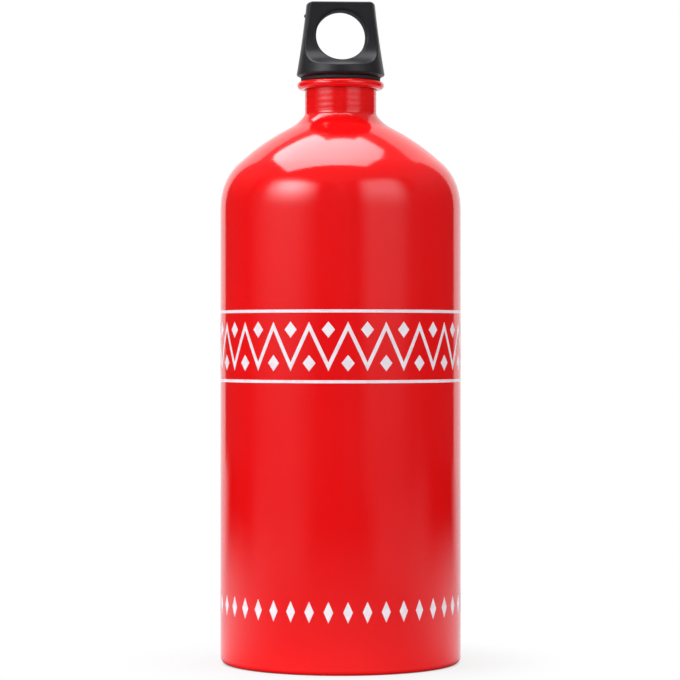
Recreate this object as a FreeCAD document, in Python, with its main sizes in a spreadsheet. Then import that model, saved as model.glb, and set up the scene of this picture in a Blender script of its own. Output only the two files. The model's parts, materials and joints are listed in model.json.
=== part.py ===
"""Camping fuel bottle: a drawn aluminium shell with a curled lip and a threaded ring in its neck,
closed by a moulded loop cap that carries a hollow threaded plug and seals on a flat gasket."""

import FreeCAD
import Part
import Sketcher

import os
from math import atan2, cos, hypot, radians, sin, sqrt
from types import SimpleNamespace

# Driving dimensions: name, millimetres or degrees, what it measures
SIZES = [
    ("body_diameter", 98.5, "outside of the straight side"),
    ("body_wall", 0.95, "sheet thickness of the side and shoulder"),
    ("base_thickness", 1.4, "sheet thickness of the base"),
    ("base_corner_radius", 2.6, "outer edge between the side and the standing ring"),
    ("base_ring_width", 4.0, "flat ring that the bottle stands on"),
    ("base_ring_fillet", 3.0, "inner edge of the standing ring"),
    ("base_dome_rise", 5.0, "height of the hollow under the base"),
    ("side_height", 187.1, "floor to the start of the shoulder"),
    ("shoulder_rise", 38.5, "start of the shoulder to the foot of the neck"),
    ("knuckle_radius", 23.2, "bend from the side into the shoulder"),
    ("dome_radius", 90.0, "crown of the shoulder"),
    ("neck_skirt_radius", 12.5, "easy hollow bend from the shoulder towards the neck"),
    ("neck_foot_radius", 3.0, "tight hollow bend from there into the neck"),
    ("neck_foot_turn", 30.0, "how far the tight bend turns, in degrees"),
    ("neck_diameter", 29.3, "outside of the neck"),
    ("neck_wall", 1.0, "sheet thickness of the neck and lip"),
    ("neck_length", 12.4, "foot of the neck to the top of the lip"),
    ("lip_height", 3.4, "section height of the curled lip"),
    ("lip_land", 0.75, "flat top of the lip that the gasket seals on"),
    ("lip_end_gap", 0.35, "from the cut end of the curl to the neck"),
    ("ring_fit_gap", 0.02, "between the thread ring and the neck"),
    ("ring_drop", 2.6, "top of the lip down to the thread ring"),
    ("ring_length", 10.4, "height of the thread ring"),
    ("ring_wall", 0.75, "thread ring wall behind the thread"),
    ("ring_lead", 0.35, "bevel at both ends of the ring's bore"),
    ("thread_pitch", 2.4, "climb of the thread in one turn"),
    ("thread_depth", 1.0, "height of a thread ridge"),
    ("thread_crest", 0.7, "width of the top of a ridge"),
    ("thread_foot", 0.2, "depth that a ridge reaches into its wall"),
    ("thread_side_gap", 0.15, "between the flanks of the two threads"),
    ("thread_tip_gap", 0.2, "between a ridge top and the other wall"),
    ("thread_run_in", 0.4, "plain end of the ring before the ridge"),
    ("plug_end_rise", 0.6, "lower end of the ring up to the end of the plug"),
    ("plug_wall", 2.0, "wall of the hollow plug"),
    ("plug_end_bevel", 0.6, "bevel round the lower end of the plug"),
    ("plug_flange_reach", 2.6, "disc at the top of the plug, outwards from its stem"),
    ("plug_flange_thickness", 1.5, "disc at the top of the plug"),
    ("plug_ceiling_drop", 0.8, "disc down to the top of the plug's hollow"),
    ("plug_boss_width", 13.0, "six-sided boss on the disc, across its corners"),
    ("plug_boss_height", 3.2, "six-sided boss on the disc"),
    ("plug_fit_gap", 0.05, "between the plug and its seat in the cap"),
    ("vent_slot_width", 3.0, "slot across the plug's thread that lets vapour out"),
    ("vent_slot_depth", 0.4, "slot below the foot of the thread"),
    ("gasket_stem_gap", 0.3, "between the plug and the gasket"),
    ("gasket_width", 4.3, "bore of the gasket to its outer edge"),
    ("gasket_thickness", 1.5, "height of the gasket"),
    ("gasket_edge_radius", 0.35, "rounded edges of the gasket"),
    ("gasket_seat_gap", 0.05, "above and below the gasket"),
    ("bell_overhang", 1.75, "outer edge of the gasket to the widest part of the cap"),
    ("bell_bevel_reach", 1.5, "width of the bevel under the widest part"),
    ("bell_edge_height", 1.2, "underside of the cap up to its widest part"),
    ("bell_edge_radius", 0.6, "rounded edge at the widest part"),
    ("bell_flare_radius", 420.0, "hollow sweep of the cap's side"),
    ("cap_top_diameter", 28.2, "width of the cap at its top"),
    ("cap_top_radius", 1.4, "rounded corner of the cap's top"),
    ("plate_thickness", 11.6, "flat plate between the two scoops"),
    ("plate_edge_radius", 0.7, "rounded edge round each scoop"),
    ("scoop_cover", 2.35, "seat of the plug up to the outer edge of the scoop floor"),
    ("scoop_floor_rise", 3.0, "outer edge of the scoop floor up to the plate"),
    ("scoop_radius", 12.0, "hollow bend from the plate into the scoop floor"),
    ("loop_floor", 1.8, "socket of the boss up to the finger loop"),
    ("loop_diameter", 20.6, "finger loop"),
    ("loop_bar", 3.55, "finger loop up to the top of the cap"),
    ("loop_edge_radius", 1.2, "rounded rims of the loop"),
    ("gate_mark_diameter", 1.8, "moulding nub on the edge of the plate"),
    ("gate_mark_proud", 0.45, "height of the nub over the edge"),
    ("gate_mark_drop", 5.5, "top of the cap down to the nub"),
]
BOSS_SIDES = 6

# A cut right through the cap, as a share of the cap's radius
THROUGH_ALL = 4

# Grams per cubic millimetre, for the printed masses
ALUMINIUM, NYLON, RUBBER = 0.0027, 0.00115, 0.0013
CUBIC_MM_PER_ML = 1000

V = FreeCAD.Vector
X_AXIS, Y_AXIS, Z_AXIS = V(1, 0, 0), V(0, 1, 0), V(0, 0, 1)
TINY = 1e-6

# How a sketch numbers its own origin, its axes and the points of a curve
SKETCH_ORIGIN = (-1, 1)
ACROSS, UPRIGHT = -1, -2
START, END, CENTRE = 1, 2, 3


class Size:
    """A number to draw with, and the expression that ties it to the driving dimensions."""

    def __init__(self, value, text):
        self.value = value
        self.text = text

    def joined(self, sign, other, value):
        other_text = other.text if isinstance(other, Size) else str(other)
        return Size(value, f"({self.text} {sign} {other_text})")

    def __float__(self):
        return self.value

    def __add__(self, other):
        return self.joined("+", other, self.value + float(other))

    def __sub__(self, other):
        return self.joined("-", other, self.value - float(other))

    def __mul__(self, other):
        return self.joined("*", other, self.value * float(other))

    def __truediv__(self, other):
        return self.joined("/", other, self.value / float(other))


class Outline:
    """A closed outline in a sketch, drawn piece by piece. A coordinate given as a Size is held at
    that size and a 0 is held on the axis; a plain number is a first guess, which the joins settle."""

    def __init__(self, sketch, x, z):
        self.sketch = sketch
        self.first = None
        self.last = None
        self.start = (x, z)
        self.here = (x, z)

    def constrain(self, kind, *items):
        return self.sketch.addConstraint(Sketcher.Constraint(kind, *items))

    def hold(self, kind, *items):
        *geometry, size = items
        index = self.constrain(kind, *geometry, float(size))
        self.sketch.setExpression(f"Constraints[{index}]", size.text)

    def pin(self, piece, end, x, z):
        for kind, axis, value in (("DistanceX", UPRIGHT, x), ("DistanceY", ACROSS, z)):
            if isinstance(value, Size):
                self.hold(kind, *SKETCH_ORIGIN, piece, end, value)
            elif value == 0:
                self.constrain("PointOnObject", piece, end, axis)

    def join(self, first, second, smooth):
        self.constrain("Tangent" if smooth else "Coincident", *first, *second)

    def add(self, curve, near, far, smooth):
        piece = self.sketch.addGeometry(curve, False)
        if self.last is None:
            self.first = (piece, near)
            self.pin(piece, near, *self.start)
        else:
            self.join(self.last, (piece, near), smooth)
        self.last = (piece, far)
        return piece

    def line(self, x, z, smooth=False):
        piece = self.add(Part.LineSegment(flat(self.here), flat((x, z))), START, END, smooth)
        self.pin(piece, END, x, z)
        self.here = (x, z)
        return piece

    def arc(self, centre, x, z, left, radius=None, sweep=None):
        """A smooth arc to (x, z) round centre, turning left or right as it goes. Its radius and the
        degrees that it turns can be held."""
        middle, begin, finish = flat(centre), flat(self.here) - flat(centre), flat((x, z)) - flat(centre)
        circle = Part.Circle(middle, Z_AXIS, finish.Length)
        angles = [atan2(begin.y, begin.x), atan2(finish.y, finish.x)]
        near, far = (START, END) if left else (END, START)
        curve = Part.ArcOfCircle(circle, *(angles if left else angles[::-1]))
        piece = self.add(curve, near, far, smooth=True)
        self.pin(piece, far, x, z)
        self.pin(piece, CENTRE, *centre)
        if radius is not None:
            self.hold("Radius", piece, radius)
        if sweep is not None:
            index = self.constrain("Angle", piece, radians(sweep.value))
            self.sketch.setExpression(f"Constraints[{index}]", f"{sweep.text} * 1 deg")
        self.here = (x, z)
        return piece

    def close(self, smooth=False):
        self.add(Part.LineSegment(flat(self.here), flat(self.start)), START, END, smooth)
        self.join(self.last, self.first, smooth)


def flat(point):
    """A sketch point as a vector, from sizes or numbers."""
    return V(float(point[0]), float(point[1]), 0)


def numbers(point):
    return tuple(float(value) for value in point)


def crossing(first, first_reach, second, second_reach, left):
    """The point at given distances from two points, to the left or right of the way between them."""
    dx, dz = second[0] - first[0], second[1] - first[1]
    gap = hypot(dx, dz)
    along = (first_reach**2 - second_reach**2 + gap**2) / (2 * gap)
    aside = sqrt(first_reach**2 - along**2) * (1 if left else -1)
    return (
        first[0] + (along * dx - aside * dz) / gap,
        first[1] + (along * dz + aside * dx) / gap,
    )


def toward(start, end, reach):
    """The point at a distance from start on the line to end."""
    share = reach / hypot(end[0] - start[0], end[1] - start[1])
    return (start[0] + (end[0] - start[0]) * share, start[1] + (end[1] - start[1]) * share)


def new_body(name, height=None):
    body = doc.addObject("PartDesign::Body", name)
    body.Label = name
    if height is not None:
        body.setExpression("Placement.Base.z", height.text)
    return body


def origin_plane(body, role):
    return next(item for item in body.Origin.OriginFeatures if item.Role == role)


def add_on_plane(body, kind, name, role):
    """A sketch or a primitive on one of the body's own planes."""
    item = body.newObject(kind, name)
    item.AttachmentSupport = [(origin_plane(body, role), "")]
    item.MapMode = "FlatFace"
    return item


def new_sketch(body, name, role="XZ_Plane"):
    return add_on_plane(body, "Sketcher::SketchObject", name, role)


def turn(body, sketch, name):
    """Turns an outline once round the vertical axis."""
    feature = body.newObject("PartDesign::Revolution", name)
    feature.Profile = sketch
    feature.ReferenceAxis = (sketch, ["V_Axis"])
    feature.Angle = 360
    doc.recompute()


def cut_both_ways(body, sketch, name):
    """Cuts an outline through the whole cap, to both sides of the sketch."""
    feature = body.newObject("PartDesign::Pocket", name)
    feature.Profile = sketch
    feature.Midplane = True
    feature.setExpression("Length", (bell_radius * THROUGH_ALL).text)
    doc.recompute()
    return feature


def six_sided(body, kind, name, corner_radius, height, foot):
    prism = add_on_plane(body, kind, name, "XY_Plane")
    prism.Polygon = BOSS_SIDES
    prism.setExpression("Circumradius", corner_radius.text)
    prism.setExpression("Height", height.text)
    prism.setExpression("AttachmentOffset.Base.z", foot.text)
    doc.recompute()


def wind_ridge(body, name, wall, crest, middle, climb):
    """A thread ridge that winds up the body, between its wall radius and its crest radius."""
    foot = wall + mm.thread_foot if wall.value > crest.value else wall - mm.thread_foot
    sketch = new_sketch(body, name + "_section")
    pen = Outline(sketch, foot, middle - ridge_foot_half)
    pen.line(crest, middle - mm.thread_crest / 2)
    pen.line(crest, middle + mm.thread_crest / 2)
    pen.line(foot, middle + ridge_foot_half)
    pen.close()
    feature = body.newObject("PartDesign::AdditiveHelix", name)
    feature.Profile = sketch
    feature.ReferenceAxis = (sketch, ["V_Axis"])
    feature.Mode = "pitch-height-angle"
    feature.setExpression("Pitch", mm.thread_pitch.text)
    feature.setExpression("Height", climb.text)
    doc.recompute()


def skin(side, floor, corner, ring, knuckle, dome, skirt, foot, neck):
    """One skin of the shell, from the middle of the base to the neck: its points, and the centre,
    the turn, the radius and any held sweep of each bend between them."""
    ring_edge = mm.body_diameter / 2 - mm.base_corner_radius - mm.base_ring_width
    crown = mm.base_dome_rise + floor
    low, edge, rise = float(floor), ring_edge.value, mm.base_dome_rise.value
    hollow = (edge**2 + rise**2 - 2 * ring.value * rise) / (2 * rise)
    hollow_centre = (0, low + rise - hollow)
    ring_centre = (edge, low + ring.value)
    corner_centre = (side.value - corner.value, low + corner.value)
    knuckle_centre = (side.value - knuckle.value, mm.side_height.value)
    foot_centre = (neck.value + foot.value, neck_foot.value)
    foot_turn = radians(mm.neck_foot_turn.value)
    foot_end = (
        foot_centre[0] - foot.value * cos(foot_turn),
        foot_centre[1] - foot.value * sin(foot_turn),
    )
    skirt_centre = toward(foot_end, foot_centre, skirt.value)
    dome_centre = crossing(
        knuckle_centre, dome.value - knuckle.value, skirt_centre, dome.value + skirt.value, left=True
    )
    points = [
        (0, crown),
        toward(hollow_centre, ring_centre, hollow),
        (ring_edge, floor),
        (corner_centre[0], floor),
        (side, corner_centre[1]),
        (side, mm.side_height),
        toward(dome_centre, knuckle_centre, dome.value),
        toward(dome_centre, skirt_centre, dome.value),
        foot_end,
        (neck, neck_foot),
    ]
    bends = [
        (hollow_centre, False, None, None),
        (ring_centre, True, ring, None),
        None,
        (corner_centre, True, corner, None),
        None,
        (knuckle_centre, True, knuckle, None),
        (dome_centre, True, dome, None),
        (skirt_centre, False, skirt, None),
        (foot_centre, False, foot, mm.neck_foot_turn),
    ]
    return points, bends


def follow(pen, points, bends, backwards):
    """Draws a skin from the pen's place at one of its ends to the other end."""
    if backwards:
        points, bends = points[::-1], bends[::-1]
    for point, bend in zip(points[1:], bends):
        if bend is None:
            pen.line(*point, smooth=True)
        else:
            centre, left, radius, sweep = bend
            pen.arc(centre, *point, left != backwards, radius, sweep)


def curl_lip(pen):
    """The sheet runs up the neck, turns outwards over a flat land, and curls down and back under it."""
    neck = mm.neck_diameter / 2
    outer = mm.lip_height / 2
    inner = outer - mm.neck_wall
    height = lip_top - outer
    near = neck_bore + outer
    far = near + mm.lip_land
    end = neck + mm.lip_end_gap
    near_centre, far_centre = numbers((near, height)), numbers((far, height))
    hollow_top, hollow_foot = height + inner, height - inner
    foot = height - outer
    pen.line(neck, height, smooth=True)
    pen.arc(near_centre, near.value, hollow_top.value, False, inner)
    pen.line(far, hollow_top, smooth=True)
    pen.arc(far_centre, far.value, hollow_foot.value, False, inner)
    pen.line(end, hollow_foot, smooth=True)
    pen.line(end, foot)
    pen.line(far, foot)
    pen.arc(far_centre, far.value, lip_top.value, True, outer)
    pen.line(near, lip_top, smooth=True)
    pen.arc(near_centre, neck_bore, height.value, True)


def make_bottle_shell():
    body = new_body("bottle_shell")
    sketch = new_sketch(body, "shell_section")
    side = mm.body_diameter / 2
    outside = skin(
        side,
        0,
        mm.base_corner_radius,
        mm.base_ring_fillet,
        mm.knuckle_radius,
        mm.dome_radius,
        mm.neck_skirt_radius,
        mm.neck_foot_radius,
        mm.neck_diameter / 2,
    )
    inside = skin(
        side - mm.body_wall,
        mm.base_thickness,
        mm.base_corner_radius - mm.body_wall,
        mm.base_ring_fillet - mm.base_thickness,
        mm.knuckle_radius - mm.body_wall,
        mm.dome_radius - mm.body_wall,
        mm.neck_skirt_radius + mm.body_wall,
        mm.neck_foot_radius + mm.neck_wall,
        neck_bore,
    )
    pen = Outline(sketch, 0, mm.base_dome_rise)
    follow(pen, *outside, backwards=False)
    curl_lip(pen)
    pen.line(neck_bore, neck_foot, smooth=True)
    follow(pen, *inside, backwards=True)
    pen.close()
    turn(body, sketch, "shell_turned")
    return body


def make_neck_thread_ring():
    body = new_body("neck_thread_ring", ring_foot)
    sketch = new_sketch(body, "ring_section")
    outside = neck_bore - mm.ring_fit_gap
    mouth = ring_bore + mm.ring_lead
    pen = Outline(sketch, mouth, 0)
    pen.line(outside, 0)
    pen.line(outside, mm.ring_length)
    pen.line(mouth, mm.ring_length)
    pen.line(ring_bore, mm.ring_length - mm.ring_lead)
    pen.line(ring_bore, mm.ring_lead)
    pen.close()
    turn(body, sketch, "ring_turned")
    crest = ring_bore - mm.thread_depth
    wind_ridge(body, "ring_ridge", ring_bore, crest, ring_ridge_start, ring_ridge_climb)
    return body


def make_threaded_plug():
    body = new_body("threaded_plug", plug_foot)
    sketch = new_sketch(body, "plug_section")
    core = plug_stem - mm.plug_wall
    flange = plug_stem + mm.plug_flange_reach
    ceiling = plug_length - mm.plug_ceiling_drop
    disc_top = plug_length + mm.plug_flange_thickness
    pen = Outline(sketch, 0, ceiling)
    pen.line(core, ceiling)
    pen.line(core, 0)
    pen.line(plug_stem - mm.plug_end_bevel, 0)
    pen.line(plug_stem, mm.plug_end_bevel)
    pen.line(plug_stem, plug_length)
    pen.line(flange, plug_length)
    pen.line(flange, disc_top)
    pen.line(0, disc_top)
    pen.close()
    turn(body, sketch, "plug_turned")

    # The plug's ridge runs midway between the turns of the ring's ridge
    crest = ring_bore - mm.thread_tip_gap
    offset = mm.thread_pitch / 2
    start = ring_ridge_start + offset - mm.plug_end_rise
    wind_ridge(body, "plug_ridge", plug_stem, crest, start, ring_ridge_climb - offset)
    boss_radius = mm.plug_boss_width / 2
    six_sided(body, "PartDesign::AdditivePrism", "plug_boss", boss_radius, mm.plug_boss_height, disc_top)
    cut_vent_slot(body, crest)
    return body


def cut_vent_slot(body, crest):
    """A slot down one side of the plug's thread."""
    sketch = new_sketch(body, "vent_section", "XY_Plane")
    near = plug_stem - mm.vent_slot_depth
    far = crest + mm.thread_foot
    half = mm.vent_slot_width / 2
    pen = Outline(sketch, near, half * -1)
    pen.line(far, half * -1)
    pen.line(far, half)
    pen.line(near, half)
    pen.close()
    vent = body.newObject("PartDesign::Pocket", "vent_slot")
    vent.Profile = sketch
    vent.Reversed = True
    vent.setExpression("Length", (mm.ring_length - mm.plug_end_rise).text)
    doc.recompute()


def make_sealing_gasket():
    body = new_body("sealing_gasket", gasket_foot)
    sketch = new_sketch(body, "gasket_section")
    bend = mm.gasket_edge_radius
    top = mm.gasket_thickness
    near_x, far_x = numbers((gasket_bore + bend, gasket_rim - bend))
    low_z, high_z = numbers((bend, top - bend))
    pen = Outline(sketch, gasket_bore, low_z)
    pen.arc((near_x, low_z), near_x, 0, True, bend)
    pen.line(far_x, 0, smooth=True)
    pen.arc((far_x, low_z), gasket_rim, low_z, True, bend)
    pen.line(gasket_rim, high_z, smooth=True)
    pen.arc((far_x, high_z), far_x, top, True, bend)
    pen.line(near_x, top, smooth=True)
    pen.arc((near_x, high_z), gasket_bore, high_z, True, bend)
    pen.close(smooth=True)
    turn(body, sketch, "gasket_turned")
    return body


def make_cap_loop():
    """The outer edges are rounded before the socket is cut, so that the socket keeps sharp ones."""
    body = new_body("cap_loop", cap_foot)
    turn_bell(body)
    cut_scoops(body)
    loop = cut_loop(body)
    rims = round_edges(body, "loop_rims", loop, is_loop_wall, is_not_loop_wall, mm.loop_edge_radius)
    round_edges(body, "plate_edges", rims, is_scoop_wall, is_bell_face, mm.plate_edge_radius)
    add_gate_mark(body)
    socket_radius = mm.plug_boss_width / 2 + mm.plug_fit_gap
    socket_height = mm.plug_boss_height
    six_sided(body, "PartDesign::SubtractivePrism", "boss_socket", socket_radius, socket_height, seat_top)
    return body


def turn_bell(body):
    """The bell before the scoops are cut, with the plug's seat in its underside."""
    sketch = new_sketch(body, "bell_section")
    seat = plug_stem + mm.plug_flange_reach + mm.plug_fit_gap
    edge = mm.bell_edge_radius
    corner = mm.cap_top_radius
    flare = mm.bell_flare_radius
    edge_centre = (bell_radius - edge, mm.bell_edge_height)
    corner_centre = (mm.cap_top_diameter / 2 - corner, cap_height - corner)
    edge_at, corner_at = numbers(edge_centre), numbers(corner_centre)
    flare_centre = crossing(
        edge_at, (flare + edge).value, corner_at, (flare + corner).value, left=False
    )
    bevel_foot = bell_radius - mm.bell_bevel_reach
    bevel_length = sqrt((edge_at[0] - bevel_foot.value) ** 2 + edge_at[1] ** 2 - edge.value**2)
    bevel_end = crossing((bevel_foot.value, 0), bevel_length, edge_at, edge.value, left=False)

    pen = Outline(sketch, 0, seat_top)
    pen.line(seat, seat_top)
    pen.line(seat, 0)
    pen.line(bevel_foot, 0)
    pen.line(*bevel_end)
    pen.arc(edge_centre, *toward(edge_at, flare_centre, edge.value), True, edge)
    side = pen.arc(flare_centre, *toward(corner_at, flare_centre, corner.value), False, flare)
    pen.arc(corner_centre, corner_at[0], cap_height.value, True, corner)
    pen.line(0, cap_height, smooth=True)
    pen.close()

    # The point on the side where the nub sits: its height is held, its reach is read
    height = cap_height - mm.gate_mark_drop
    reach = flare_centre[0] - sqrt(flare.value**2 - (height.value - flare_centre[1]) ** 2)
    mark = sketch.addGeometry(Part.Point(flat((reach, height))), True)
    pen.constrain("PointOnObject", mark, START, side)
    pen.hold("DistanceY", *SKETCH_ORIGIN, mark, START, height)
    read = pen.constrain("DistanceX", *SKETCH_ORIGIN, mark, START, reach)
    sketch.setDriving(read, False)
    sketch.renameConstraint(read, "gate_mark_reach")
    turn(body, sketch, "bell_turned")


def cut_scoops(body):
    """One scoop across the cap, which leaves the plate beside it, and its mirror image."""
    sketch = new_sketch(body, "scoop_section", "YZ_Plane")
    plate = mm.plate_thickness / 2
    floor_out = seat_top + mm.scoop_cover
    floor_in = floor_out + mm.scoop_floor_rise
    above = cap_height + mm.scoop_radius
    slope = hypot((bell_radius - plate).value, mm.scoop_floor_rise.value)
    along = (bell_radius - plate).value / slope
    down = mm.scoop_floor_rise.value / slope
    tangent = mm.scoop_radius.value * (1 - down) / along
    bend_centre = numbers((plate + mm.scoop_radius, floor_in + tangent))
    bend_end = numbers((plate + tangent * along, floor_in - tangent * down))
    pen = Outline(sketch, plate, above)
    pen.line(plate, bend_centre[1])
    pen.arc(bend_centre, *bend_end, True, mm.scoop_radius)
    floor = pen.line(bell_radius, floor_out, smooth=True)
    pen.line(bell_radius, above)
    pen.close()
    corner = sketch.addGeometry(Part.Point(flat((plate, floor_in))), True)
    pen.pin(corner, START, plate, floor_in)
    pen.constrain("PointOnObject", corner, START, floor)
    scoop = cut_both_ways(body, sketch, "scoop")
    pair = body.newObject("PartDesign::Mirrored", "scoop_pair")
    pair.Originals = [scoop]
    pair.MirrorPlane = (origin_plane(body, "XZ_Plane"), [""])
    body.Tip = pair
    doc.recompute()


def cut_loop(body):
    sketch = new_sketch(body, "loop_section")
    middle = (0, seat_top + mm.plug_boss_height + mm.loop_floor + mm.loop_diameter / 2)
    radius = mm.loop_diameter / 2
    circle = sketch.addGeometry(Part.Circle(flat(middle), Z_AXIS, radius.value), False)
    pen = Outline(sketch, *middle)
    pen.pin(circle, CENTRE, *middle)
    pen.hold("Radius", circle, radius)
    return cut_both_ways(body, sketch, "loop_hole")


def round_edges(body, name, base, first, second, radius):
    """Rounds the edges where a face that passes the first test meets one that passes the second."""
    sides = {}
    for face in base.Shape.Faces:
        for edge in face.Edges:
            sides.setdefault(edge.hashCode(), []).append(face)
    names = []
    for number, edge in enumerate(base.Shape.Edges, start=1):
        faces = sides[edge.hashCode()]
        if any(first(a) and second(b) for a in faces for b in faces):
            names.append(f"Edge{number}")
    feature = body.newObject("PartDesign::Fillet", name)
    feature.Base = (base, names)
    feature.setExpression("Radius", radius.text)
    doc.recompute()
    return feature


def is_along(direction, axis):
    return abs(abs(direction.dot(axis)) - 1) < TINY


def is_loop_wall(face):
    return isinstance(face.Surface, Part.Cylinder) and is_along(face.Surface.Axis, Y_AXIS)


def is_not_loop_wall(face):
    return not is_loop_wall(face)


def is_scoop_wall(face):
    surface = face.Surface
    if isinstance(surface, Part.Cylinder):
        return is_along(surface.Axis, X_AXIS)
    is_flat = isinstance(surface, Part.Plane)
    return is_flat and abs(surface.Axis.x) < TINY and abs(surface.Axis.y) > TINY


def is_bell_face(face):
    return is_along(getattr(face.Surface, "Axis", V()), Z_AXIS)


def add_gate_mark(body):
    """The nub left by the mould, half sunk in the edge of the plate."""
    nub = add_on_plane(body, "PartDesign::AdditiveSphere", "gate_mark", "XZ_Plane")
    radius = mm.gate_mark_diameter / 2
    sunk = radius - mm.gate_mark_proud
    reach_text = "bell_section.Constraints.gate_mark_reach / 1 mm"
    nub.setExpression("Radius", radius.text)
    nub.setExpression("AttachmentOffset.Base.x", f"{sunk.text} - {reach_text}")
    nub.setExpression("AttachmentOffset.Base.y", (cap_height - mm.gate_mark_drop).text)
    doc.recompute()


def faults(bodies):
    """What is wrong with the finished document: failed objects, loose sketches, bad solids."""
    found = []
    for item in doc.Objects:
        if "Invalid" in item.State or "Error" in item.State:
            found.append(f"{item.Name} failed")
        if item.isDerivedFrom("Sketcher::SketchObject") and not item.FullyConstrained:
            found.append(f"{item.Name} is not fully constrained")
    for body in bodies:
        if body.Shape.isNull() or not body.Shape.isValid() or len(body.Shape.Solids) != 1:
            found.append(f"{body.Label} is not one valid solid")
    return found


def brimful_capacity(shell):
    """Millilitres that the shell holds up to the top of its lip."""
    block = Part.makeCylinder(mm.body_diameter.value, lip_top.value)
    middle = V(0, 0, mm.side_height.value / 2)
    spaces = block.cut(shell.Shape).Solids
    return next(space.Volume for space in spaces if space.isInside(middle, TINY, False)) / CUBIC_MM_PER_ML


doc = FreeCAD.newDocument("fuel_bottle")
sheet = doc.addObject("Spreadsheet::Sheet", "Sizes")
for row, (name, value, meaning) in enumerate(SIZES, start=1):
    sheet.set(f"A{row}", name)
    sheet.set(f"B{row}", str(value))
    sheet.setAlias(f"B{row}", name)
    sheet.set(f"C{row}", meaning)
doc.recompute()
mm = SimpleNamespace(**{name: Size(value, f"Sizes.{name}") for name, value, meaning in SIZES})

# Heights above the floor where the pieces meet
neck_foot = mm.side_height + mm.shoulder_rise
lip_top = neck_foot + mm.neck_length
ring_foot = lip_top - mm.ring_drop - mm.ring_length
gasket_foot = lip_top + mm.gasket_seat_gap
cap_foot = gasket_foot + mm.gasket_thickness + mm.gasket_seat_gap
plug_foot = ring_foot + mm.plug_end_rise
plug_length = cap_foot - plug_foot

# Heights above the underside of the cap
seat_top = mm.plug_flange_thickness + mm.plug_fit_gap
cap_height = seat_top + mm.plug_boss_height + mm.loop_floor + mm.loop_diameter + mm.loop_bar

# Radii, from the neck inwards to the plug and from there out to the cap
neck_bore = mm.neck_diameter / 2 - mm.neck_wall
ring_bore = neck_bore - mm.ring_fit_gap - mm.ring_wall
plug_stem = ring_bore - mm.thread_depth - mm.thread_tip_gap
gasket_bore = plug_stem + mm.gasket_stem_gap
gasket_rim = gasket_bore + mm.gasket_width
bell_radius = gasket_rim + mm.bell_overhang

# The ridge section: its flanks leave the side gap between the two threads
ridge_mean_width = mm.thread_pitch / 2 - mm.thread_side_gap
flank_slope = (ridge_mean_width - mm.thread_crest) / (mm.thread_depth - mm.thread_tip_gap)
ridge_foot_half = mm.thread_crest / 2 + flank_slope * (mm.thread_depth + mm.thread_foot)
ring_ridge_start = mm.thread_run_in + ridge_foot_half
ring_ridge_climb = mm.ring_length - ring_ridge_start * 2

made_of = [
    (make_bottle_shell(), ALUMINIUM),
    (make_neck_thread_ring(), ALUMINIUM),
    (make_cap_loop(), NYLON),
    (make_threaded_plug(), NYLON),
    (make_sealing_gasket(), RUBBER),
]
bodies = [body for body, density in made_of]
doc.recompute()
problems = faults(bodies)
if problems:
    raise RuntimeError("; ".join(problems))

os.makedirs("parts", exist_ok=True)
for body, density in made_of:
    body.Shape.exportStep(f"parts/{body.Label}.step")
    print(f"{body.Label}: {body.Shape.Volume * density:.1f} g")
total = sum(body.Shape.Volume * density for body, density in made_of)
print(f"total {total:.1f} g, brimful capacity {brimful_capacity(bodies[0]):.0f} ml")
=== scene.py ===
"""Looks of a camping fuel bottle: a red enamelled shell, a black moulded cap and a rubber seal,
on a white table under studio light. Metres, in the frame of the solids."""

import json
from math import atan2, cos, pi, radians, sin, sqrt

import bmesh
import bpy
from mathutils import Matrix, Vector


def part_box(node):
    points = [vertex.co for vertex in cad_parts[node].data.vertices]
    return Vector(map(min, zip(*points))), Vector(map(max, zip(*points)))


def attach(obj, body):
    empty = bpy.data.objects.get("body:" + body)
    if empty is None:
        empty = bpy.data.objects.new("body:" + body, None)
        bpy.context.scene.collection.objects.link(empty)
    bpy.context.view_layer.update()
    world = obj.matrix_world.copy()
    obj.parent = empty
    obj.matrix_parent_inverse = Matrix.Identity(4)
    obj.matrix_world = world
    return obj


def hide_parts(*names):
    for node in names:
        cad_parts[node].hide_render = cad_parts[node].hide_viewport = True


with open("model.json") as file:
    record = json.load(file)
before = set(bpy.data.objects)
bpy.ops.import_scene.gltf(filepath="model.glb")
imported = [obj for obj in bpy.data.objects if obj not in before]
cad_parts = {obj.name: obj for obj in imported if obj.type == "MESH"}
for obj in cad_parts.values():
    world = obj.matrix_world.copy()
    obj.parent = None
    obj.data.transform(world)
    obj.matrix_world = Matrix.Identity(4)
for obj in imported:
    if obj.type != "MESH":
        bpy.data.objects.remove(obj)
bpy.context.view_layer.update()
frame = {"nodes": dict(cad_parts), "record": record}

MM = 0.001

# The shell: what its box gives, and the sizes that the box doesn't give
_, shell_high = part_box("bottle_shell")
SIDE_RADIUS = shell_high.x
LIP_TOP = shell_high.z
SIDE_WALL = 0.95 * MM
NECK_WALL = 1.0 * MM
BASE_THICKNESS = 1.4 * MM
BASE_CORNER = 2.6 * MM
STANDING_RING = 4.0 * MM
RING_FILLET = 3.0 * MM
BASE_HOLLOW = 5.0 * MM
SIDE_HEIGHT = 187.1 * MM
KNUCKLE = 23.2 * MM
DOME = 88.9 * MM
NECK_SKIRT = 16.7 * MM
NECK_BEND = 2.5 * MM
NECK_BEND_TURN = radians(36.5)
NECK_RADIUS = 14.65 * MM
NECK_LENGTH = 12.8 * MM
LIP_HEIGHT = 3.4 * MM
LIP_LAND = 0.75 * MM
LIP_END_GAP = 0.35 * MM
NECK_FOOT = LIP_TOP - NECK_LENGTH

# The side passes softly into the shoulder: over this much below and above its end, and fading
EASE = 4.5 * MM
EASE_FADE = 12.0 * MM

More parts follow.
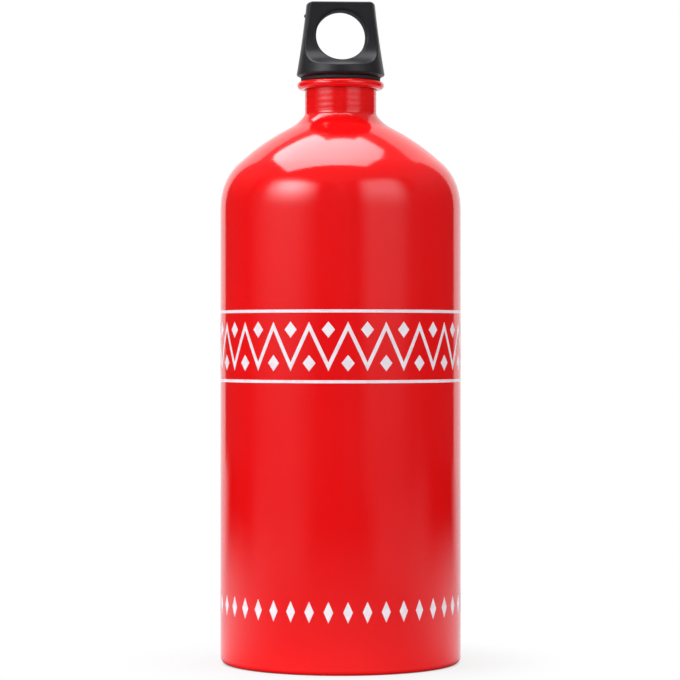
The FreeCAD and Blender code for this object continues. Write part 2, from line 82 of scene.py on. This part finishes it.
# The thread behind the neck shows through its wall as a faint ripple, deepest at the neck's foot
THREAD_PITCH = 2.4 * MM
RIPPLE_AT_FOOT = 0.017 * MM
RIPPLE_AT_LIP = 0.009 * MM
RIPPLE_FADE = 1.2 * MM

# The finger loop, as its mount gives it
loop = next(mount for mount in frame["record"]["mounts"] if mount["name"] == "finger_loop")
LOOP_HEIGHT = loop["pos_m"][2]
LOOP_RADIUS = loop["dims"]["r_mm"] * MM

# The print: a zigzag with diamonds in its notches between two lines, and a lower row of diamonds.
# A diamond has a width, a height, and a distance above or below the middle of its row. Each diamond
# and each slope of the zigzag has the same number of columns
INK_DEPTH = 0.05 * MM
INK_SINK = 0.02 * MM
BAND_MIDDLE = 129.5 * MM
BAND_LINE = 13.9 * MM
LINE_WIDTH = 1.2 * MM
ZIGZAGS = 20
ZIGZAG_RISE = 8.0 * MM
ZIGZAG_WIDTH = 3.4 * MM
NOTCH_DIAMOND = (5.2 * MM, 6.4 * MM, 6.6 * MM)
ROW_MIDDLE = 25.0 * MM
ROW_DIAMOND = (3.8 * MM, 8.4 * MM, 0.0)
INK_COLUMNS = 8

# Flat pieces round a full turn, along a quarter of a bend, and along straight runs
AROUND = 192
QUARTER_BEND = 24
OUTSIDE_RUN = 12
INSIDE_RUN = 8
NECK_RUN = 48

# Points nearer than this become one, and edges that turn more than this stay sharp
WELD = MM / 1000
SHARP_EDGE = radians(35)

# The camera: level, a little to the left of the plate's front, framed as in the photograph
VIEW_AZIMUTH = -3.4
VIEW_DISTANCE = 1.113
VIEW_HEIGHT = 0.132
VIEW_SPAN = 0.27907
VIEW_OFFSET = -0.25 * MM
SENSOR = 36.0
NEAREST = 0.1
FARTHEST = 200


def linked(name, data):
    """A new object of the scene."""
    thing = bpy.data.objects.new(name, data)
    bpy.context.collection.objects.link(thing)
    return thing


def smooth_piece(name, mesh):
    """A piece with a smooth skin and sharp edges."""
    mesh.shade_smooth()
    mesh.set_sharp_from_angle(angle=SHARP_EDGE)
    return linked(name, mesh)


class Outline:
    """A half section, as points of radius and height, drawn with straight runs and arcs."""

    def __init__(self, radius, height):
        self.points = [Vector((radius, height))]

    def line(self, radius, height, parts=1):
        """A straight run to a point, in equal parts."""
        start = self.points[-1]
        end = Vector((radius, height))
        for step in range(1, parts + 1):
            self.points.append(start.lerp(end, step / parts))

    def arc(self, centre, end, left):
        """An arc round centre to end, turning left or right as it goes."""
        middle = Vector(centre)
        start = self.points[-1] - middle
        finish = Vector(end) - middle
        first = atan2(start.y, start.x)
        sweep = atan2(finish.y, finish.x) - first
        sweep = sweep % (2 * pi) if left else -(-sweep % (2 * pi))
        parts = max(2, round(QUARTER_BEND * abs(sweep) / (pi / 2)))
        for step in range(1, parts + 1):
            angle = first + sweep * step / parts
            self.points.append(middle + finish.length * Vector((cos(angle), sin(angle))))


def crossing(first, first_reach, second, second_reach):
    """The point at given distances from two points, to the left of the way between them."""
    way = Vector(second) - Vector(first)
    along = (first_reach**2 - second_reach**2 + way.length_squared) / (2 * way.length)
    aside = sqrt(first_reach**2 - along**2)
    ahead = way.normalized()
    return Vector(first) + ahead * along + Vector((-ahead.y, ahead.x)) * aside


def toward(start, end, reach):
    """The point at a distance from start on the line to end."""
    return Vector(start) + (Vector(end) - Vector(start)).normalized() * reach


def shell_skin(inset, floor, neck_inset):
    """One skin of the shell from the middle of the base to the foot of the neck: its bends as
    centre, end and turn, with None for a straight run."""
    side = SIDE_RADIUS - inset
    corner = BASE_CORNER - inset
    fillet = RING_FILLET - floor
    knuckle = KNUCKLE - inset
    dome = DOME - inset
    skirt = NECK_SKIRT + inset
    neck = NECK_RADIUS - neck_inset
    bend = NECK_BEND + neck_inset
    ring_edge = SIDE_RADIUS - BASE_CORNER - STANDING_RING
    hollow = (ring_edge**2 + BASE_HOLLOW**2 - 2 * fillet * BASE_HOLLOW) / (2 * BASE_HOLLOW)
    hollow_centre = (0, floor + BASE_HOLLOW - hollow)
    fillet_centre = (ring_edge, floor + fillet)
    knuckle_centre = (side - knuckle, SIDE_HEIGHT)
    neck_centre = Vector((neck + bend, NECK_FOOT))
    bend_end = neck_centre - bend * Vector((cos(NECK_BEND_TURN), sin(NECK_BEND_TURN)))
    skirt_centre = toward(bend_end, neck_centre, skirt)
    dome_centre = crossing(knuckle_centre, dome - knuckle, skirt_centre, dome + skirt)
    return [
        (hollow_centre, toward(hollow_centre, fillet_centre, hollow), False),
        (fillet_centre, (ring_edge, floor), True),
        (None, (side - corner, floor), True),
        ((side - corner, floor + corner), (side, floor + corner), True),
        (None, (side, SIDE_HEIGHT - EASE), True),
        (None, (side, SIDE_HEIGHT), True),
        (knuckle_centre, toward(dome_centre, knuckle_centre, dome), True),
        (dome_centre, toward(dome_centre, skirt_centre, dome), True),
        (skirt_centre, bend_end, False),
        (neck_centre, (neck, NECK_FOOT), False),
    ]


def follow(outline, skin, straight_parts):
    """Draws a skin's bends and straight runs on an outline."""
    for centre, end, left in skin:
        if centre is None:
            outline.line(*end, parts=straight_parts)
        else:
            outline.arc(centre, end, left)


def drawn_in(height):
    """How far the outside is drawn in round the end of the straight side. Its bend grows evenly over
    the ease instead of starting at once, and this is the difference."""
    past = height - SIDE_HEIGHT
    if past < -EASE:
        return 0
    if past < EASE:
        return ((past + EASE)**3 / EASE / 12 - max(past, 0)**2 / 2) / KNUCKLE
    fade = min(1, (past - EASE) / EASE_FADE)
    return EASE**2 / 6 / KNUCKLE * (1 - fade**2)**2


def shell_outline():
    """The whole section of the shell, and the place in it where the enamel ends."""
    bore = NECK_RADIUS - NECK_WALL
    outer = LIP_HEIGHT / 2
    inner = outer - NECK_WALL
    middle = LIP_TOP - outer
    near = bore + outer
    far = near + LIP_LAND
    end = NECK_RADIUS + LIP_END_GAP
    outline = Outline(0, BASE_HOLLOW)
    follow(outline, shell_skin(0, 0, 0), OUTSIDE_RUN)
    outline.points = [Vector((point.x - drawn_in(point.y), point.y)) for point in outline.points]
    outline.line(NECK_RADIUS, middle, parts=NECK_RUN)
    outline.arc((near, middle), (near, middle + inner), left=False)
    outline.line(far, middle + inner)
    outline.arc((far, middle), (far, middle - inner), left=False)
    outline.line(end, middle - inner)
    outline.line(end, middle - outer)
    outline.line(far, middle - outer)
    outline.arc((far, middle), (far, LIP_TOP), left=True)
    outline.line(near, LIP_TOP)
    outline.arc((near, middle), (bore, middle), left=True)
    enamel_end = len(outline.points) - 1
    inside = Outline(0, BASE_HOLLOW + BASE_THICKNESS)
    follow(inside, shell_skin(SIDE_WALL, BASE_THICKNESS, NECK_WALL), INSIDE_RUN)
    outline.points += reversed(inside.points)
    return outline.points, enamel_end


def neck_ripple(angle, point):
    """How far the thread's ripple moves a point of the neck's outside outwards."""
    low, high = NECK_FOOT, LIP_TOP - LIP_HEIGHT
    on_outside = abs(point.x - NECK_RADIUS) < NECK_WALL / 2
    if not on_outside or not low < point.y < high:
        return 0
    fade = min(1, (point.y - low) / RIPPLE_FADE, (high - point.y) / RIPPLE_FADE)
    climb = (point.y - low) / (high - low)
    depth = RIPPLE_AT_FOOT + (RIPPLE_AT_LIP - RIPPLE_AT_FOOT) * climb
    return depth * fade * cos(angle - 2 * pi * point.y / THREAD_PITCH)


def turned(name, points, second_from, swell):
    """A piece made by turning a section once round the axis. The faces from the point second_from
    on take the second material, and swell moves points outwards."""
    vertices = []
    for point in points:
        for step in range(AROUND):
            angle = 2 * pi * step / AROUND
            radius = point.x + swell(angle, point)
            vertices.append((radius * cos(angle), radius * sin(angle), point.y))
    faces = []
    for ring in range(len(points) - 1):
        for step in range(AROUND):
            beside = (step + 1) % AROUND
            low, high = ring * AROUND, (ring + 1) * AROUND
            faces.append((low + step, low + beside, high + beside, high + step))
    mesh = bpy.data.meshes.new(name)
    mesh.from_pydata(vertices, [], faces)
    for face in mesh.polygons:
        face.material_index = int(face.index // AROUND >= second_from)
    tidy = bmesh.new()
    tidy.from_mesh(mesh)
    bmesh.ops.remove_doubles(tidy, verts=tidy.verts, dist=WELD)
    bmesh.ops.recalc_face_normals(tidy, faces=tidy.faces)
    tidy.to_mesh(mesh)
    tidy.free()
    return smooth_piece(name, mesh)


class Print:
    """Ink on the bottle's straight side, drawn in strips that run round it."""

    def __init__(self):
        self.mesh = bmesh.new()

    def strip(self, first, last, columns, edges):
        """A strip between two angles. Edges gives its lower and upper height at each part of the way."""
        radius = SIDE_RADIUS - INK_SINK
        pairs = []
        for column in range(columns + 1):
            part = column / columns
            angle = first + (last - first) * part
            x, y = radius * cos(angle), radius * sin(angle)
            pairs.append([self.mesh.verts.new((x, y, height)) for height in edges(part)])
        for near, far in zip(pairs, pairs[1:]):
            self.mesh.faces.new((near[0], far[0], far[1], near[1]))

    def line(self, height):
        """A line all round."""
        half = LINE_WIDTH / 2
        self.strip(0, 2 * pi, AROUND, lambda part: (height - half, height + half))

    def zigzag(self, height):
        """A zigzag all round, to both sides of a height."""

        def edges(part):
            swing = abs(2 * (ZIGZAGS * part % 1) - 1)
            middle = height + ZIGZAG_RISE * (2 * swing - 1)
            return middle - ZIGZAG_WIDTH / 2, middle + ZIGZAG_WIDTH / 2

        self.strip(0, 2 * pi, 2 * INK_COLUMNS * ZIGZAGS, edges)

    def diamond(self, angle, height, wide, high):
        """One diamond, with its middle at an angle and a height."""
        half_angle = wide / 2 / SIDE_RADIUS

        def edges(part):
            half = high / 2 * (1 - abs(2 * part - 1))
            return height - half, height + half

        self.strip(angle - half_angle, angle + half_angle, INK_COLUMNS, edges)

    def diamonds(self, count, height, size):
        """A row of diamonds, by turns above and below a height."""
        wide, high, aside = size
        for number in range(count):
            shift = aside if number % 2 else -aside
            self.diamond(2 * pi * number / count, height + shift, wide, high)

    def finish(self, name):
        """The ink as one thin piece that stands a little proud of the enamel."""
        ink = self.mesh
        bmesh.ops.remove_doubles(ink, verts=ink.verts, dist=WELD)
        bmesh.ops.recalc_face_normals(ink, faces=ink.faces)
        bmesh.ops.solidify(ink, geom=ink.faces[:], thickness=-INK_DEPTH - INK_SINK)
        bmesh.ops.recalc_face_normals(ink, faces=ink.faces)
        mesh = bpy.data.meshes.new(name)
        ink.to_mesh(mesh)
        ink.free()
        return smooth_piece(name, mesh)


class Wire:
    """A socket of a material's nodes. Arithmetic on wires adds Math nodes."""

    def __init__(self, tree, socket=None):
        self.tree = tree
        self.socket = socket

    def node(self, kind, settings, sockets, output=0):
        """A new node: its settings are set first, then the values or wires of its sockets."""
        made = self.tree.nodes.new(kind)
        for name, value in settings.items():
            setattr(made, name, value)
        for name, value in sockets.items():
            if isinstance(value, Wire):
                self.tree.links.new(value.socket, made.inputs[name])
            else:
                made.inputs[name].default_value = value
        return Wire(self.tree, made.outputs[output] if made.outputs else None)

    def other(self, output):
        """Another output of the same node."""
        return Wire(self.tree, self.socket.node.outputs[output])

    def math(self, operation, *values):
        """A Math node on numbers or wires."""
        return self.node("ShaderNodeMath", {"operation": operation}, dict(enumerate(values)))

    def __add__(self, value):
        return self.math("ADD", self, value)

    def __rsub__(self, value):
        return self.math("SUBTRACT", value, self)

    def __mul__(self, value):
        return self.math("MULTIPLY", self, value)

    __radd__ = __add__
    __rmul__ = __mul__

    def rise(self, low, high):
        """0 below low, 1 above high, and a smooth climb between them. High may be the lower one."""
        ends = {"Value": self, "From Min": low, "From Max": high}
        return self.node("ShaderNodeMapRange", {"interpolation_type": "SMOOTHSTEP"}, ends)

    def band(self, low, first, last, high):
        """1 from first to last, with a smooth climb from low and a smooth fall to high."""
        return self.rise(low, first) * self.rise(high, last)

    def axis(self, name):
        """One of the three parts of a place or a way."""
        return self.node("ShaderNodeSeparateXYZ", {}, {"Vector": self}, output=name)

    def length(self):
        """How far a place is from the origin."""
        return self.node("ShaderNodeVectorMath", {"operation": "LENGTH"}, {0: self}, output="Value")

    def mix(self, first, second):
        """The first colour where this wire is 0, the second where it is 1."""
        return self.node("ShaderNodeMix", {"data_type": "RGBA"}, {0: self, 6: first, 7: second}, output=2)

    def grain(self, size, detail=2.0):
        """Noise on this wire's places, with bumps about as large as size."""
        sockets = {"Vector": self, "Scale": 1 / size, "Detail": detail}
        return self.node("ShaderNodeTexNoise", {}, sockets)

    def bump(self, depth, strength=1.0):
        """A normal with this wire's relief."""
        return self.node("ShaderNodeBump", {}, {"Height": self, "Distance": depth, "Strength": strength})


def new_material(name):
    """An empty material, and the wire that its nodes start from."""
    material = bpy.data.materials.new(name)
    material.use_nodes = True
    material.node_tree.nodes.clear()
    return material, Wire(material.node_tree)


def object_place(start):
    """The place on the object."""
    return start.node("ShaderNodeTexCoord", {}, {}, output="Object")


def finish_surface(start, sockets):
    """Ends a material in one surface."""
    surface = start.node("ShaderNodeBsdfPrincipled", {}, sockets)
    start.node("ShaderNodeOutputMaterial", {}, {"Surface": surface})


def colour(red, green, blue):
    """A colour that lets nothing through."""
    return (red, green, blue, 1.0)


ALUMINIUM = colour(0.80, 0.80, 0.81)
DULL_ALUMINIUM = colour(0.70, 0.70, 0.71)
DEEP_RED = colour(0.76, 0.0028, 0.0036)
BRIGHT_RED = colour(0.83, 0.0042, 0.0052)
RUBBER_BLACK = colour(0.010, 0.010, 0.010)
RUBBER_BLOOM = colour(0.022, 0.022, 0.021)
INK_WHITE = colour(0.86, 0.83, 0.86)
INK_TINTED = colour(0.80, 0.70, 0.73)
CAP_GREY = 0.015
PLUG_GREY = 0.02

# The heights over the floor where the paint is worn, a little and fully, and the distances from the
# finger loop's axis where the cap is dull
WORN_BELOW = 0.25 * MM
WORN_FULLY = 0.02 * MM
DULL_WITHIN = LOOP_RADIUS + 0.4 * MM
DULL_FULLY = LOOP_RADIUS + 0.1 * MM


def red_enamel():
    """Glossy red paint with a faint orange peel, rubbed through to the metal where the bottle stands."""
    material, start = new_material("red_enamel")
    place = object_place(start)
    cloud = place.grain(45 * MM)
    paint = cloud.mix(DEEP_RED, BRIGHT_RED)
    scuff = place.grain(7 * MM, detail=5.0)
    worn = place.axis("Z").rise(WORN_BELOW, WORN_FULLY) * scuff.rise(0.5, 0.68)
    smear = place.grain(14 * MM, detail=4.0)
    peel = place.grain(1.5 * MM)
    finish_surface(start, {
        "Base Color": worn.mix(paint, ALUMINIUM),
        "Metallic": worn,
        "Roughness": 0.085 + smear * 0.05 + worn * 0.3,
        "IOR": 1.6,
        "Normal": peel.bump(0.004 * MM),
    })
    return material


def bare_aluminium():
    """Drawn or turned aluminium: fine rings round the axis."""
    material, start = new_material("bare_aluminium")
    place = object_place(start)
    stretched = place.node("ShaderNodeMapping", {}, {"Vector": place, "Scale": (0.02, 0.02, 1.0)})
    rings = stretched.grain(0.12 * MM, detail=3.0)
    cloud = place.grain(9 * MM)
    finish_surface(start, {
        "Base Color": cloud.mix(DULL_ALUMINIUM, ALUMINIUM),
        "Metallic": 1.0,
        "Roughness": 0.26 + rings * 0.16,
        "Normal": rings.bump(0.01 * MM, strength=0.5),
    })
    return material


def black_nylon(name, grey):
    """Moulded nylon: a fine matt grain with slightly shinier patches, and dull in the finger loop."""
    material, start = new_material(name)
    place = object_place(start)
    from_loop = {"Vector": place, "Location": (0, 0, -LOOP_HEIGHT), "Scale": (1, 0, 1)}
    aside = place.node("ShaderNodeMapping", {}, from_loop)
    dull = aside.length().rise(DULL_WITHIN, DULL_FULLY)
    cloud = place.grain(6 * MM, detail=4.0)
    spark = place.grain(0.28 * MM, detail=3.0)
    darker = colour(0.75 * grey, 0.75 * grey, 0.82 * grey)
    lighter = colour(1.15 * grey, 1.15 * grey, 1.3 * grey)
    finish_surface(start, {
        "Base Color": cloud.mix(darker, lighter),
        "Roughness": 0.32 + cloud * 0.1 + spark * 0.06 + dull * 0.45,
        "IOR": 1.37,
        "Normal": spark.bump(0.02 * MM, strength=0.6),
    })
    return material


def seal_rubber():
    """Matt black rubber with a dusty bloom."""
    material, start = new_material("seal_rubber")
    place = object_place(start)
    bloom = place.grain(3 * MM, detail=4.0)
    pores = place.grain(0.2 * MM)
    finish_surface(start, {
        "Base Color": bloom.mix(RUBBER_BLACK, RUBBER_BLOOM),
        "Roughness": 0.62 + bloom * 0.2,
        "Normal": pores.bump(0.015 * MM, strength=0.5),
    })
    return material


def print_ink():
    """White ink, thin enough here and there for the red to tint it."""
    material, start = new_material("print_ink")
    place = object_place(start)
    thin = place.grain(3 * MM, detail=5.0)
    peel = place.grain(0.6 * MM)
    finish_surface(start, {
        "Base Color": thin.rise(0.35, 0.75).mix(INK_WHITE, INK_TINTED),
        "Roughness": 0.24 + thin * 0.12,
        "Normal": peel.bump(0.004 * MM),
    })
    return material


def dress(node, material):
    """Gives a CAD node its finish."""
    slots = frame["nodes"][node].data.materials
    slots.clear()
    slots.append(material)


def make_shell(paint, metal):
    """The shell, painted outside and over the lip, and bare inside."""
    points, enamel_end = shell_outline()
    shell = turned("enamelled_shell", points, enamel_end, neck_ripple)
    shell.data.materials.append(paint)
    shell.data.materials.append(metal)
    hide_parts("bottle_shell")
    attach(shell, "bottle")


def make_print(ink):
    """The printed band and the lower row."""
    design = Print()
    design.line(BAND_MIDDLE - BAND_LINE)
    design.line(BAND_MIDDLE + BAND_LINE)
    design.zigzag(BAND_MIDDLE)
    design.diamonds(2 * ZIGZAGS, BAND_MIDDLE, NOTCH_DIAMOND)
    design.diamonds(2 * ZIGZAGS, ROW_MIDDLE, ROW_DIAMOND)
    band = design.finish("printed_band")
    band.data.materials.append(ink)
    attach(band, "bottle")


# The studio: directions are degrees to the right of the camera, as seen from the bottle, outlines are
# metres to the right and to the back, and a glow of 1 is white. Two numbers in brackets are where a
# climb starts and ends, and with four the last two are where the fall after it does
WORLD_GLOW = 0.38
COOL_WHITE = colour(1.0, 0.99, 1.04)

# The table, by distance from the axis: the floor comes out from under the bottle, and its shadow and
# its bounce end. The bounce is also weaker to the right
TABLE_REACH = 40.0
TABLE_ALBEDO = 0.65
TABLE_SHADOW = 0.2
TABLE_BOUNCE = 1.9
BOTTLE_EDGE = (0.047, 0.053)
BARE_FLOOR = (0.046, 0.0495)
SHADOW_END = (0.05, 0.1)
BOUNCE_END = (0.1, 0.052)
BOUNCE_SHARE = 0.8
BOUNCE_LOSS = 0.4
TO_THE_RIGHT = (-0.02, 0.06)

# The light over the bottle, which fades to the right
TOP_LIGHT = [(-0.66, -0.235), (0.268, -0.25), (0.31, 0.34), (-0.47, 0.60)]
TOP_LIGHT_HEIGHT = 1.0
TOP_LIGHT_GLOW = 5.6
TOP_LIGHT_FADE = (0.9, -0.1)

# The panels' softboxes and cards, up and across the panel
PANEL_DISTANCE = 1.2
FOOT_UP = (0.225, 0.3)
LEFT_BOX_UP = (0.225, 0.8, 0.88, 1.22)
LEFT_BOX_ACROSS = (-0.75, 0.0, 0.0, 0.75)
LEFT_BOX_GLOW = 7.2
LEFT_FOOT_GLOW = 0.25
LEFT_CARD_UP = (0, 0.25)
LEFT_CARD_ACROSS = (-1.35, -0.1, 0.0, 0.75)
LEFT_CARD_LOW = 0.2
LEFT_CARD_GAIN = 0.24
LEFT_REST_GLOW = 0.05
RIGHT_BOX_UP = (0.215, 0.68, 0.95, 1.28)
RIGHT_BOX_GLOW = 1.35
RIGHT_FOOT_GLOW = 0.2
RIGHT_CARD_UP = (0.03, 0.22)
RIGHT_CARD_LOW = 0.12
RIGHT_CARD_GAIN = 0.28
RIGHT_ACROSS = (-0.62, -0.25, 0.18, 0.7)
RIGHT_REST_GLOW = 0.09
FILL_UP = (0, 0.4)
FILL_ACROSS = (-1.0, -0.8, 0.8, 1.0)
FILL_GLOW = 1.32

# The dark cloth: a wall round the camera's side of the set, and a ceiling
ROOM_RADIUS = 1.8
ROOM_HEIGHT = 1.9
ROOM_LEFT = 143
ROOM_RIGHT = 137
ROOM_PARTS = 48
CEILING = [(-2.2, -2.2), (2.2, -2.2), (2.2, 0.9), (-2.2, 2.1)]
CLOTH_UP = (0.3, 1.6)
CLOTH_LOW = 0.05
CLOTH_GAIN = 0.15

# The table's painted shade, a glowing sheet seen only in reflections, by distance from the axis and
# by direction: 1 is straight behind the bottle, -1 in front
TABLE_SHADE_BACK = 1.3
TABLE_SHADE_HEIGHT = 0.1 * MM
TABLE_SHADE_TURN = (-0.8, 0.55)
TABLE_SHADE_LOW = 0.23
TABLE_SHADE_GAIN = 0.7
SHADE_AWAY = (0.15, 0.95)
SHADE_TURN = (0.85, 0.6)
BESIDE_AWAY = (0.25, 0.7)
BESIDE_TURN = (-0.95, -0.75, -0.25, 0.15)
BESIDE_GLOW = 0.25

# The rays that see a thing of the studio
ALL_RAYS = ("camera", "diffuse", "glossy", "transmission", "volume_scatter", "shadow")
LIGHT_AND_GLOSS = ("diffuse", "glossy", "shadow")
LIGHT_ALONE = ("diffuse", "shadow")
GLOSS_ALONE = ("glossy",)


def around(azimuth, distance, height):
    """A place in the studio."""
    angle = radians(VIEW_AZIMUTH + azimuth)
    return Vector((distance * sin(angle), -distance * cos(angle), height))


def rectangle(left, low, right, high):
    """The four corners of a rectangle."""
    return [(left, low), (right, low), (right, high), (left, high)]


def level(outline, height):
    """An outline's points at one height."""
    return [(x, y, height) for x, y in outline]


def staged(name, vertices, faces, material, seen_by, azimuth=0.0):
    """A thing of the studio, turned to an azimuth and seen only by the rays that seen_by names."""
    mesh = bpy.data.meshes.new(name)
    mesh.from_pydata(vertices, [], faces)
    mesh.materials.append(material)
    thing = linked(name, mesh)
    thing.rotation_euler.z = radians(VIEW_AZIMUTH + azimuth)
    for ray in ALL_RAYS:
        setattr(thing, "visible_" + ray, ray in seen_by)
    return thing


def staged_sheet(name, corners, material, seen_by, azimuth=0.0):
    """A flat thing of the studio."""
    return staged(name, corners, [tuple(range(len(corners)))], material, seen_by, azimuth)


def finish_glow(start, glow):
    """Ends a material in a surface that only glows, by a wire's measure."""
    shade = glow.node("ShaderNodeCombineColor", {}, {n: glow * COOL_WHITE[n] for n in range(3)})
    light = start.node("ShaderNodeEmission", {}, {"Color": shade, "Strength": 1.0})
    start.node("ShaderNodeOutputMaterial", {}, {"Surface": light})


def seen_directly(start):
    """1 for what the camera sees, straight on or in a reflection, and 0 for light on the object."""
    path = start.node("ShaderNodeLightPath", {}, {}, output="Is Camera Ray")
    mirrored = path.math("MAXIMUM", path.other("Is Glossy Ray"), path.other("Is Transmission Ray"))
    return path.math("MAXIMUM", path, mirrored)


def make_world():
    """White to the eye and in reflections, and dimmer as a light."""
    world = bpy.data.worlds.new("white_studio")
    world.use_nodes = True
    world.node_tree.nodes.clear()
    bpy.context.scene.world = world
    start = Wire(world.node_tree)
    glow = WORLD_GLOW + seen_directly(start) * (1 - WORLD_GLOW)
    grey = start.node("ShaderNodeCombineColor", {}, {0: glow, 1: glow, 2: glow})
    light = start.node("ShaderNodeBackground", {}, {"Color": grey, "Strength": 1.0})
    start.node("ShaderNodeOutputWorld", {}, {"Surface": light})


def make_table():
    """A white table: it takes the bottle's shadow near the bottle and is plain white further off. It
    throws light up at the foot of the bottle, less of it on the right."""
    material, start = new_material("white_table")
    place = object_place(start)
    away = place.length()
    paper = start.node("ShaderNodeBsdfDiffuse", {}, {"Color": colour(*[TABLE_ALBEDO] * 3)})
    white = start.node("ShaderNodeEmission", {}, {"Strength": 1.0})
    plain = away.rise(*BARE_FLOOR) * (1 - TABLE_SHADOW + away.rise(*SHADOW_END) * TABLE_SHADOW)
    seen = start.node("ShaderNodeMixShader", {}, {0: plain, 1: paper, 2: white})
    bounce = start.node("ShaderNodeEmission", {}, {"Strength": TABLE_BOUNCE})
    on_right = place.axis("X").rise(*TO_THE_RIGHT)
    close_by = away.rise(*BOTTLE_EDGE) * away.rise(*BOUNCE_END)
    thrown = close_by * (BOUNCE_SHARE - on_right * BOUNCE_LOSS)
    lit = start.node("ShaderNodeMixShader", {}, {0: thrown, 1: paper, 2: bounce})
    surface = start.node("ShaderNodeMixShader", {}, {0: seen_directly(start), 1: lit, 2: seen})
    start.node("ShaderNodeOutputMaterial", {}, {"Surface": surface})
    corners = level(rectangle(-TABLE_REACH, -TABLE_REACH, TABLE_REACH, TABLE_REACH), 0)
    staged_sheet("white_table", corners, material, ALL_RAYS)


def make_top_light():
    """A four-sided softbox over the bottle, mostly behind it and to the left, dimmer on its right."""
    material, start = new_material("top_light")
    finish_glow(start, object_place(start).axis("X").rise(*TOP_LIGHT_FADE) * TOP_LIGHT_GLOW)
    staged_sheet("top_light", level(TOP_LIGHT, TOP_LIGHT_HEIGHT), material, LIGHT_AND_GLOSS)


def make_side_light(name, azimuth, half_width, top, glow, seen_by):
    """A standing panel that faces the bottle. The glow is worked out from the place on the panel."""
    material, start = new_material(name)
    place = object_place(start)
    finish_glow(start, glow(place.axis("X"), place.axis("Z")))
    corners = [(x, 0, z) for x, z in rectangle(-half_width, 0, half_width, top)]
    panel = staged_sheet(name, corners, material, seen_by, azimuth)
    panel.location = around(azimuth, PANEL_DISTANCE, 0)


def left_glow(across, height):
    """A bright softbox with a soft foot and soft sides, above a dim card."""
    card = (LEFT_CARD_LOW + height.rise(*LEFT_CARD_UP) * LEFT_CARD_GAIN) * across.band(*LEFT_CARD_ACROSS)
    box = height.band(*LEFT_BOX_UP) * LEFT_BOX_GLOW
    foot = height.rise(*FOOT_UP) * LEFT_FOOT_GLOW
    return LEFT_REST_GLOW + card + (box + foot) * across.band(*LEFT_BOX_ACROSS)


def right_glow(across, height):
    """A dimmer softbox with a soft foot, above a dim card."""
    card = RIGHT_CARD_LOW + height.rise(*RIGHT_CARD_UP) * RIGHT_CARD_GAIN
    box = height.band(*RIGHT_BOX_UP) * RIGHT_BOX_GLOW
    foot = height.rise(*FOOT_UP) * RIGHT_FOOT_GLOW
    return RIGHT_REST_GLOW + (card + box + foot) * across.band(*RIGHT_ACROSS)


def fill_glow(across, height):
    """A wide even card."""
    return height.rise(*FILL_UP) * across.band(*FILL_ACROSS) * FILL_GLOW


def make_dark_room():
    """Dark cloth beside and behind the camera and over the set, which only reflections see."""
    material, start = new_material("dark_cloth")
    finish_glow(start, CLOTH_LOW + object_place(start).axis("Z").rise(*CLOTH_UP) * CLOTH_GAIN)
    vertices = []
    for step in range(ROOM_PARTS + 1):
        angle = radians((ROOM_LEFT + ROOM_RIGHT) * step / ROOM_PARTS - ROOM_LEFT)
        for height in (0, ROOM_HEIGHT):
            vertices.append((ROOM_RADIUS * sin(angle), -ROOM_RADIUS * cos(angle), height))
    faces = [(2 * n, 2 * n + 2, 2 * n + 3, 2 * n + 1) for n in range(ROOM_PARTS)]
    faces.append(tuple(range(len(vertices), len(vertices) + len(CEILING))))
    vertices += level(CEILING, ROOM_HEIGHT)
    staged("dark_cloth", vertices, faces, material, GLOSS_ALONE)


def make_painted_table_shade():
    """Painted shade of the set on the table round the bottle, most of all in front, and lighter again
    further off to both sides: a glowing sheet just over the table. Only reflections see this."""
    material, start = new_material("painted_table_shade")
    place = object_place(start)
    away = place.length()
    way = place.node("ShaderNodeVectorMath", {"operation": "NORMALIZE"}, {0: place}, output="Vector")
    behind = way.axis("Y")
    shade = away.rise(*SHADE_AWAY) * behind.rise(*SHADE_TURN)
    lit = away.rise(*BOTTLE_EDGE) * (1 - shade)
    beside = behind.band(*BESIDE_TURN) * away.rise(*BESIDE_AWAY)
    floor = TABLE_SHADE_LOW + behind.rise(*TABLE_SHADE_TURN) * TABLE_SHADE_GAIN
    finish_glow(start, floor * lit + beside * BESIDE_GLOW)
    corners = level(rectangle(-ROOM_RADIUS, -ROOM_RADIUS, ROOM_RADIUS, TABLE_SHADE_BACK), TABLE_SHADE_HEIGHT)
    # This sheet paints the table's shade into reflections; only glossy rays see it
    staged_sheet("painted_table_shade", corners, material, GLOSS_ALONE)


def make_camera():
    """The camera, at the photograph's viewing angle."""
    data = bpy.data.cameras.new("photo_camera")
    data.sensor_width = SENSOR
    data.lens = SENSOR * VIEW_DISTANCE / VIEW_SPAN
    data.clip_start = NEAREST
    data.clip_end = FARTHEST
    camera = linked("photo_camera", data)
    angle = radians(VIEW_AZIMUTH)
    aside = VIEW_OFFSET * Vector((cos(angle), sin(angle), 0))
    camera.location = around(0, VIEW_DISTANCE, VIEW_HEIGHT) + aside
    camera.rotation_euler = (pi / 2, 0, angle)
    bpy.context.scene.camera = camera


metal = bare_aluminium()
make_shell(red_enamel(), metal)
make_print(print_ink())
dress("neck_thread_ring", metal)
dress("cap_loop", black_nylon("black_nylon", CAP_GREY))
dress("threaded_plug", black_nylon("plug_nylon", PLUG_GREY))
dress("sealing_gasket", seal_rubber())

make_world()
make_table()
make_top_light()
make_side_light("left_light", azimuth=-50, half_width=1.4, top=1.3,
                glow=left_glow, seen_by=LIGHT_AND_GLOSS)
make_side_light("right_light", azimuth=42, half_width=1.0, top=1.3,
                glow=right_glow, seen_by=LIGHT_AND_GLOSS)
make_side_light("left_fill", azimuth=-30, half_width=1.0, top=1.2,
                glow=fill_glow, seen_by=LIGHT_ALONE)
make_side_light("right_fill", azimuth=80, half_width=1.0, top=1.2,
                glow=fill_glow, seen_by=LIGHT_ALONE)
make_dark_room()
# The table's painted shade, seen only in reflections
make_painted_table_shade()
make_camera()
bpy.context.scene.view_settings.view_transform = "Standard"
